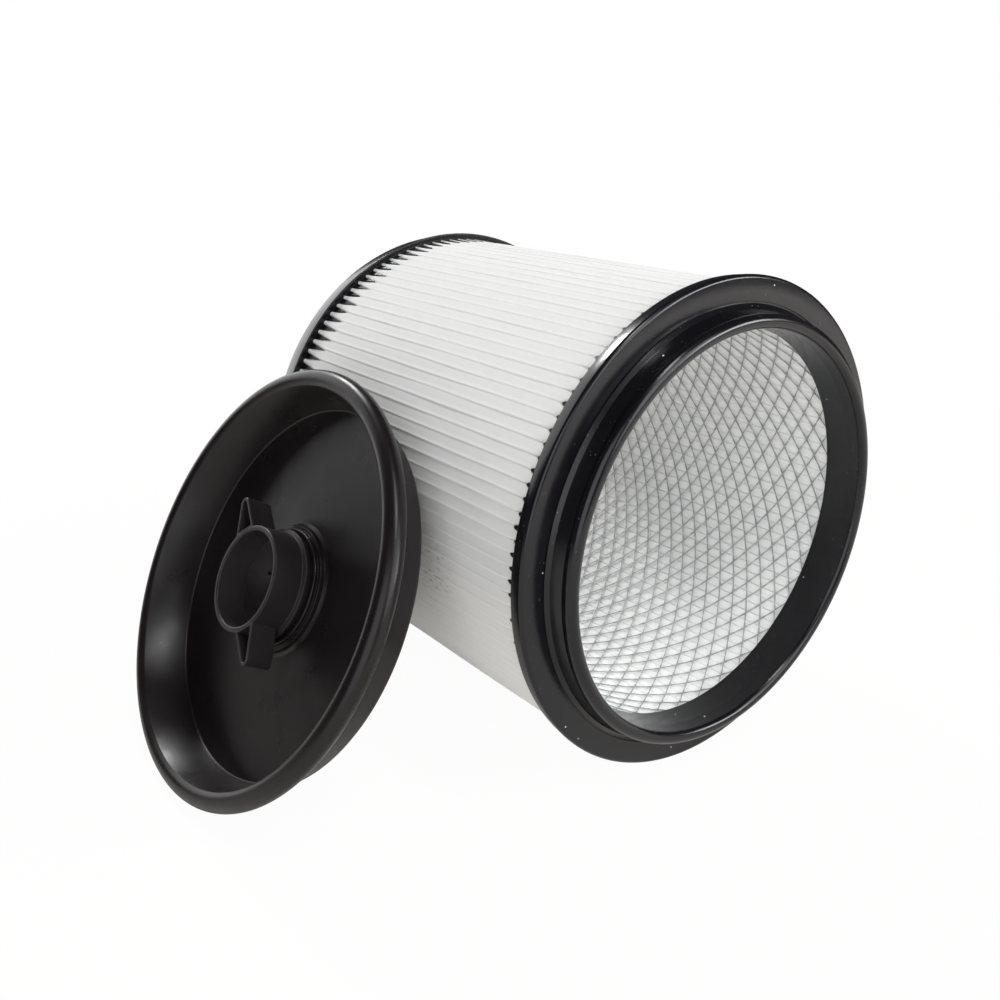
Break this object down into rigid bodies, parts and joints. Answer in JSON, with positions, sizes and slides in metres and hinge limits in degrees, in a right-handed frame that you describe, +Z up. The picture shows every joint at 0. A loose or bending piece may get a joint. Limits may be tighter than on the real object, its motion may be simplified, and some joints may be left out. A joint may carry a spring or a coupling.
{
  "type": "vacuum filter",
  "caption": "Pleated paper cartridge filter lying on its side, with a round sealing collar, a metal mesh core and its loose retainer dish with a wing knob leaning on it.",
  "frame": {"origin": "on the surface it lies on, below the middle of the part's bounding box", "axes": "+X along the cartridge axis, out of the collar end; +Y away from the retainer dish; +Z up"},
  "size_m": [0.1876, 0.2562, 0.176],
  "materials": {
    "black_cap": "smooth semi-gloss black plastic with a little dust",
    "potting": "black potting compound",
    "filter_paper": "white pleated filter paper",
    "zinc_mesh": "galvanised expanded metal",
    "black_dish": "moulded semi-gloss black plastic",
    "black_knob": "moulded satin black plastic"
  },
  "bodies": {
    "filter": {"collar_cap": "black_cap", "collar_potting": "potting", "pleated_media": "filter_paper", "mesh_core": "zinc_mesh", "end_cap": "black_cap", "end_potting": "potting", "retainer_dish": "black_dish"},
    "knob": {"wing_knob": "black_knob"}
  },
  "joints": [
    {"name": "knob_turn", "type": "hinge", "parent": "filter", "child": "knob", "pos_m": [-0.01488, -0.08734, 0.06932], "axis": [-0.0152, -0.8711, 0.4909], "continuous": true}
  ]
}
